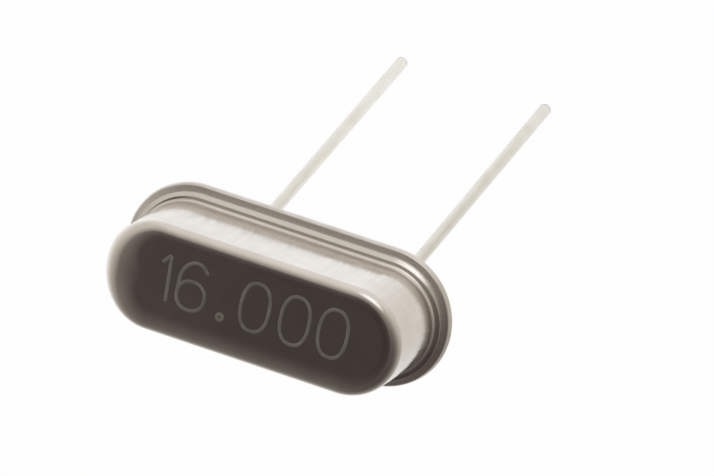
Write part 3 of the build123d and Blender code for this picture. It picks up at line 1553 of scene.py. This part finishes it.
@dataclass(frozen=True)
class Room:
    """The soft light round the object, as a colour for each direction.

    Attributes:
        wall: colour of the room's pale walls
        bright_wall: colour of the wall behind the object
        ground: colour of the table below
        shade: colour of the dark parts
        window: colour of the soft window
        behind: where the bright wall is
        below: where the table is
        overhead: the dark part above the object
        flank: the dark part at its side
        opening: where the window is
    """

    wall: Colour = (0.572, 0.534, 0.465)
    bright_wall: Colour = (0.700, 0.667, 0.625)
    ground: Colour = (1.0, 1.0, 1.0)
    shade: Colour = (0.038, 0.0275, 0.0265)
    window: Colour = (1.1, 1.1, 1.08)
    behind: Lobe = Lobe((-0.043, 0.952, -0.302), fade=0.611, full=0.901)
    below: Lobe = Lobe((-0.356, -0.174, -0.918), fade=0.140, full=1.150)
    overhead: Lobe = Lobe((-0.196, -0.265, 0.944), fade=0.917, full=1.014)
    flank: Lobe = Lobe((0.364, -0.627, 0.689), fade=-0.451, full=1.257)
    opening: Lobe = Lobe((0.108, 0.790, 0.604), fade=0.895, full=1.020)

    def colour(self, wiring: Wiring, direction: Socket) -> Socket:
        """The room's colour in a direction: walls, table, the shade over both, then the window.

        Args:
            wiring: the tree that the nodes go into
            direction: a unit direction from the object
        Returns:
            the colour
        """
        parts = ((self.behind, self.bright_wall), (self.below, self.ground), (self.overhead, self.shade),
                 (self.flank, self.shade), (self.opening, self.window))
        lit = self.wall
        for lobe, colour in parts:
            lit = wiring.blend(lobe.share(wiring, direction), lit, colour)
        return lit


@dataclass(frozen=True)
class Studio:
    """A white table at the lead tips, the room round it and a weak lamp.

    Attributes:
        room: the room
        middle: the point in millimetres from which the table's part of the room is measured
        floor_size: width of the table
        floor_colour: colour of the table
        floor_dim: how much darker its clouds are
        floor_clouds: clouds per millimetre
        floor_rough: roughness of the table
        floor_glow: share of the table that shines as a light table
        white: colour that the camera sees round the object
        lamp_toward: direction of the lamp
        lamp_distance: distance of the lamp
        lamp_size: diameter of the lamp
        lamp_power: power of the lamp in watts
    """

    room: Room = Room()
    middle: tuple[float, float, float] = (0.0, 0.0, 1.7)
    floor_size: float = 4.0
    floor_colour: Colour = (0.95, 0.95, 0.95)
    floor_dim: float = 0.98
    floor_clouds: float = 0.004
    floor_rough: float = 0.9
    floor_glow: float = 0.985
    white: Colour = (1.0, 1.0, 1.0)
    lamp_toward: Direction = (0.12, 0.82, 0.56)
    lamp_distance: float = 300 * MM
    lamp_size: float = 110 * MM
    lamp_power: float = 0.02

    def lay_floor(self) -> None:
        """Lays the table, which the camera sees white and in which metal sees the room's lower part."""
        half = self.floor_size / 2
        corners = [(-half, -half), (half, -half), (half, half), (-half, half)]
        mesh = bpy.data.meshes.new("floor")
        mesh.from_pydata([(x, y, cad_low.z) for x, y in corners], [], [(0, 1, 2, 3)])
        floor = add_object("floor", mesh)
        maker = MaterialMaker("floor", Roughness=self.floor_rough)
        clouds = maker.noise(maker.solid, self.floor_clouds)
        dimmed = tuple(self.floor_dim * channel for channel in self.floor_colour)
        maker.feed(maker.shader, Base_Color=maker.blend(clouds, self.floor_colour, dimmed))
        rays = maker.node("ShaderNodeLightPath").outputs
        direction = maker.vector("NORMALIZE", maker.vector("SUBTRACT", maker.solid, self.middle))
        light = maker.blend(rays["Is Camera Ray"], self.room.colour(maker, direction), self.white)
        glow = maker.node("ShaderNodeEmission", light, 1.0)
        seen = rays["Is Camera Ray"]
        for kind in ("Is Glossy Ray", "Is Transmission Ray"):
            seen = maker.math("MAXIMUM", seen, rays[kind])
        share = maker.math("MULTIPLY", seen, self.floor_glow)
        mix = maker.node("ShaderNodeMixShader", share, maker.shader.outputs[0], glow.outputs[0])
        maker.feed(maker.tree.nodes["Material Output"], Surface=mix.outputs[0])
        mesh.materials.append(maker.material)

    def hang_sky(self) -> None:
        """Makes the world: the room for light and reflections, and plain white for the camera."""
        world = bpy.data.worlds.new("room")
        world.use_nodes = True
        bpy.context.scene.world = world
        wiring = Wiring(world.node_tree)
        direct = wiring.node("ShaderNodeLightPath").outputs["Is Camera Ray"]
        direction = wiring.node("ShaderNodeTexCoord").outputs["Generated"]
        light = wiring.blend(direct, self.room.colour(wiring, direction), self.white)
        wiring.feed(world.node_tree.nodes["Background"], Color=light, Strength=1.0)

    def hang_lamp(self) -> None:
        """Hangs the soft round lamp, facing the object; metal shows the room's window instead of it."""
        data = bpy.data.lights.new("soft_lamp", "AREA")
        data.shape, data.size, data.energy = "DISK", self.lamp_size, self.lamp_power
        lamp = add_object("soft_lamp", data)
        lamp.visible_glossy = False
        aim = Vector(self.lamp_toward).normalized()
        facing = aim.to_track_quat("Z", "Y").to_matrix().to_4x4()
        lamp.matrix_world = Matrix.Translation(aim * self.lamp_distance) @ facing

    def set_up(self) -> None:
        """Makes the floor, the world and the lamp, and sets the plain view transform."""
        bpy.context.scene.view_settings.view_transform = "Standard"
        self.lay_floor()
        self.hang_sky()
        self.hang_lamp()


def main() -> None:
    """Builds the studio and every piece, in the order in which the real unit is put together."""
    logging.basicConfig(level=logging.INFO, format="%(name)s: %(message)s")
    Viewpoint().place()
    Studio().set_up()
    effects = Effects()
    can = Can()
    header = Header(can)
    header.build(PressedPlate().make(effects))
    wire, glass = TinnedWire().make(effects), SealGlass().make(effects)
    for side in Side:
        GlassSeal(side).build(glass)
        Lead(side).build(wire)
    Insides().dress(effects)
    can.build(PlatedSheet().make(effects))
    FrequencyMark(can).build(EtchedMark().make(effects))


if __name__ == "__main__":
    main()
